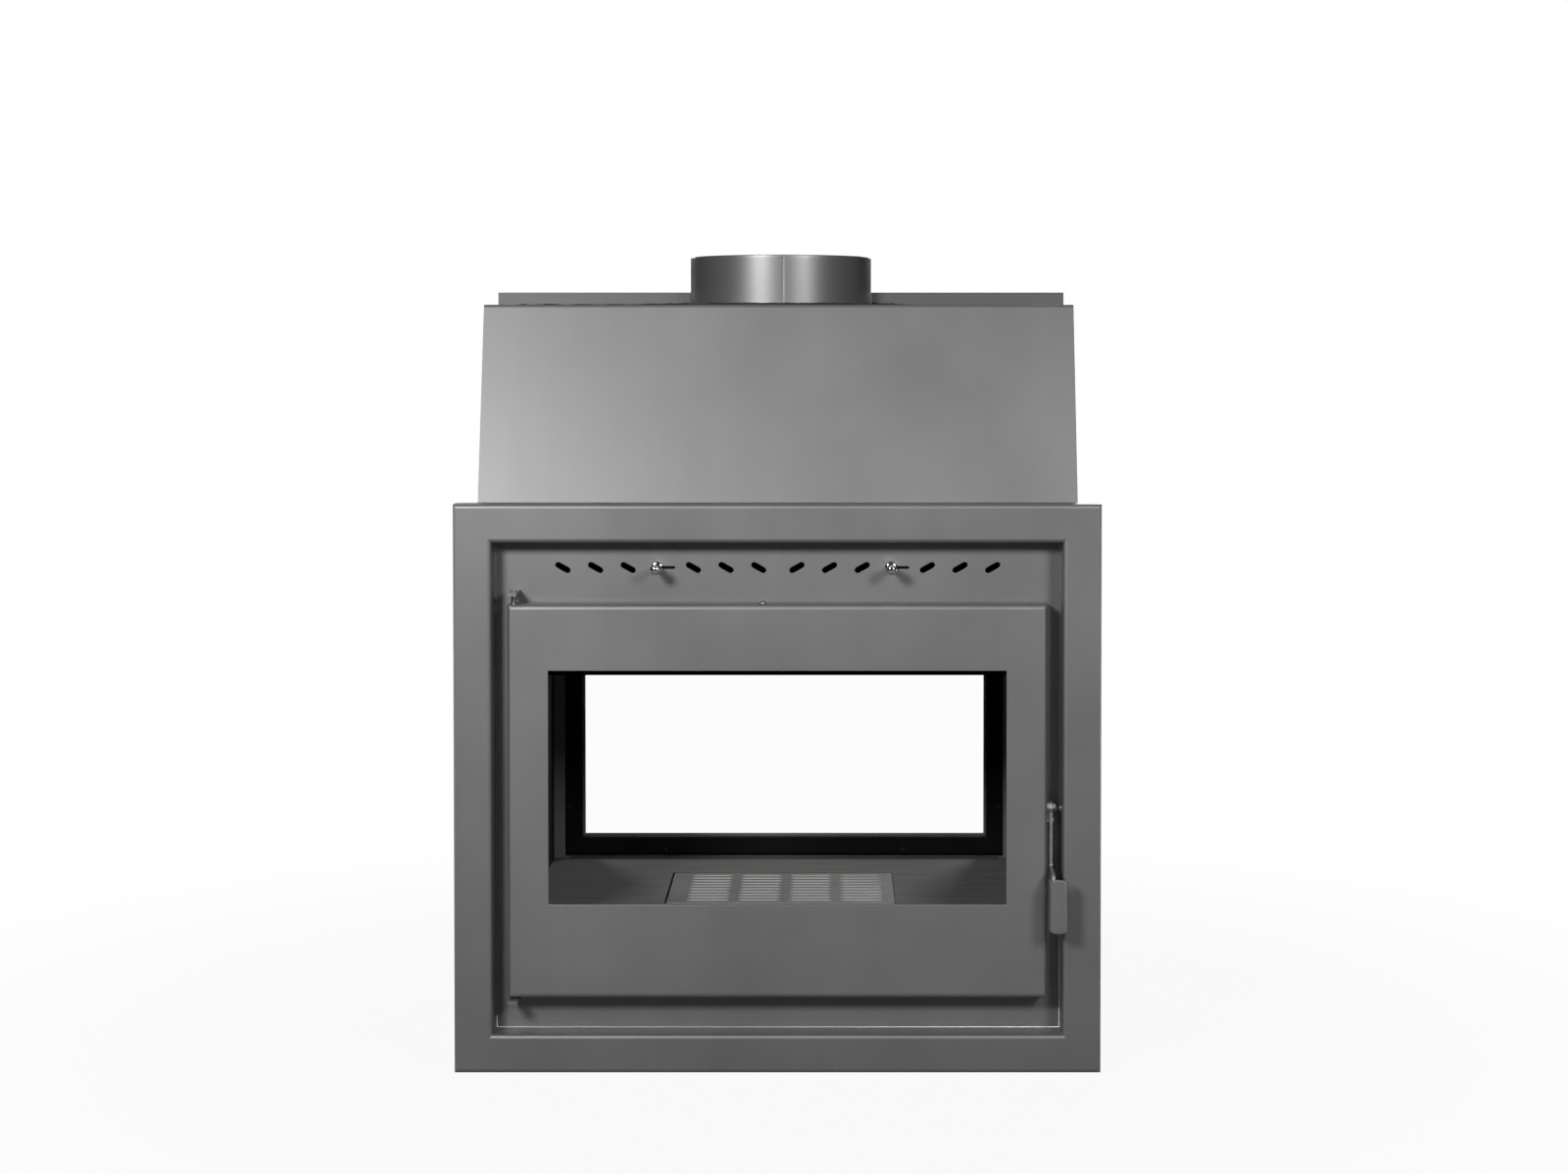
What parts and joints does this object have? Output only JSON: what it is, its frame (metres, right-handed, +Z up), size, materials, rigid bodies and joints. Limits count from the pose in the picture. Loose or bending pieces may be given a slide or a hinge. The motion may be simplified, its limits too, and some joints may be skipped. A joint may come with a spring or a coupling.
{
  "type": "double-sided wood fireplace",
  "caption": "Freestanding sheet steel fireplace insert with a glazed, latched door on each face, air shutters, a grate over an ash pan, and a hood with a round flue collar.",
  "frame": {"origin": "middle of the underside, midway between the two faces", "axes": "+Z up, front face towards -Y, +X to the right as seen from the front"},
  "size_m": [0.84, 0.636, 1.068],
  "materials": {
    "body_steel": "satin metallic grey heat-resistant paint",
    "inner_steel": "matt dark heat-resistant paint on plate",
    "grate_iron": "bare grey casting",
    "knob_chrome": "polished chrome",
    "zinc_steel": "bright zinc-plated steel",
    "seal_rope": "black glass fibre rope",
    "ceramic_glass": "clear ceramic glass"
  },
  "bodies": {
    "casing": {"base_plate": "inner_steel", "casing_side_right": "body_steel", "casing_side_left": "body_steel", "hood_front": "body_steel", "hood_rear": "body_steel", "hood_side_right": "body_steel", "hood_side_left": "body_steel", "flue_collar": "body_steel", "smoke_dome": "inner_steel", "firebox_stand": "inner_steel", "firebox_base": "inner_steel", "firebox_wall_right": "inner_steel", "firebox_wall_left": "inner_steel", "firebox_roof": "inner_steel", "baffle_plate": "inner_steel", "hearth_floor": "inner_steel", "surround_front": "body_steel", "fascia_front": "body_steel", "air_wash_plate_front": "inner_steel", "hinge_bracket_upper_front": "body_steel", "hinge_bracket_lower_front": "body_steel", "hinge_pin_upper_front": "zinc_steel", "hinge_pin_lower_front": "zinc_steel", "latch_keeper_front": "zinc_steel", "surround_rear": "body_steel", "fascia_rear": "body_steel", "air_wash_plate_rear": "inner_steel", "hinge_bracket_upper_rear": "body_steel", "hinge_bracket_lower_rear": "body_steel", "hinge_pin_upper_rear": "zinc_steel", "hinge_pin_lower_rear": "zinc_steel", "latch_keeper_rear": "zinc_steel"},
    "grate_body": {"grate": "grate_iron"},
    "ash_pan_body": {"ash_pan": "zinc_steel"},
    "door_front": {"door_shell_front": "body_steel", "door_glass_front": "ceramic_glass", "glass_gasket_front": "seal_rope", "glass_retainer_front": "inner_steel", "door_seal_front": "seal_rope", "door_top_screw_front": "zinc_steel", "handle_pivot_front": "zinc_steel"},
    "handle_front": {"handle_lever_front": "zinc_steel", "handle_grip_front": "body_steel", "latch_hook_front": "zinc_steel"},
    "shutter_front": {"shutter_plate_front": "inner_steel", "shutter_knob_left_front": "knob_chrome", "shutter_knob_right_front": "knob_chrome"},
    "door_rear": {"door_shell_rear": "body_steel", "door_glass_rear": "ceramic_glass", "glass_gasket_rear": "seal_rope", "glass_retainer_rear": "inner_steel", "door_seal_rear": "seal_rope", "door_top_screw_rear": "zinc_steel", "handle_pivot_rear": "zinc_steel"},
    "handle_rear": {"handle_lever_rear": "zinc_steel", "handle_grip_rear": "body_steel", "latch_hook_rear": "zinc_steel"},
    "shutter_rear": {"shutter_plate_rear": "inner_steel", "shutter_knob_left_rear": "knob_chrome", "shutter_knob_right_rear": "knob_chrome"}
  },
  "joints": [
    {"name": "door_front_hinge", "type": "hinge", "parent": "casing", "child": "door_front", "pos_m": [-0.3429, -0.258, 0.354], "axis": [0, 0, -1], "range_deg": [0, 100]},
    {"name": "door_rear_hinge", "type": "hinge", "parent": "casing", "child": "door_rear", "pos_m": [0.3429, 0.258, 0.354], "axis": [0, 0, -1], "range_deg": [0, 100]},
    {"name": "handle_front_pivot", "type": "hinge", "parent": "door_front", "child": "handle_front", "pos_m": [0.35, -0.2575, 0.344], "axis": [-1, 0, 0], "range_deg": [0, 45]},
    {"name": "handle_rear_pivot", "type": "hinge", "parent": "door_rear", "child": "handle_rear", "pos_m": [-0.35, 0.2575, 0.344], "axis": [1, 0, 0], "range_deg": [0, 45]},
    {"name": "shutter_front_slide", "type": "slide", "parent": "casing", "child": "shutter_front", "axis": [1, 0, 0], "range_m": [0, 0.022]},
    {"name": "shutter_rear_slide", "type": "slide", "parent": "casing", "child": "shutter_rear", "axis": [-1, 0, 0], "range_m": [0, 0.022]},
    {"name": "ash_pan_slide", "type": "slide", "parent": "casing", "child": "ash_pan_body", "axis": [0, -1, 0], "range_m": [-0.08, 0.08]},
    {"name": "grate_lift", "type": "slide", "parent": "casing", "child": "grate_body", "axis": [0, 0, 1], "range_m": [0, 0.06]}
  ]
}
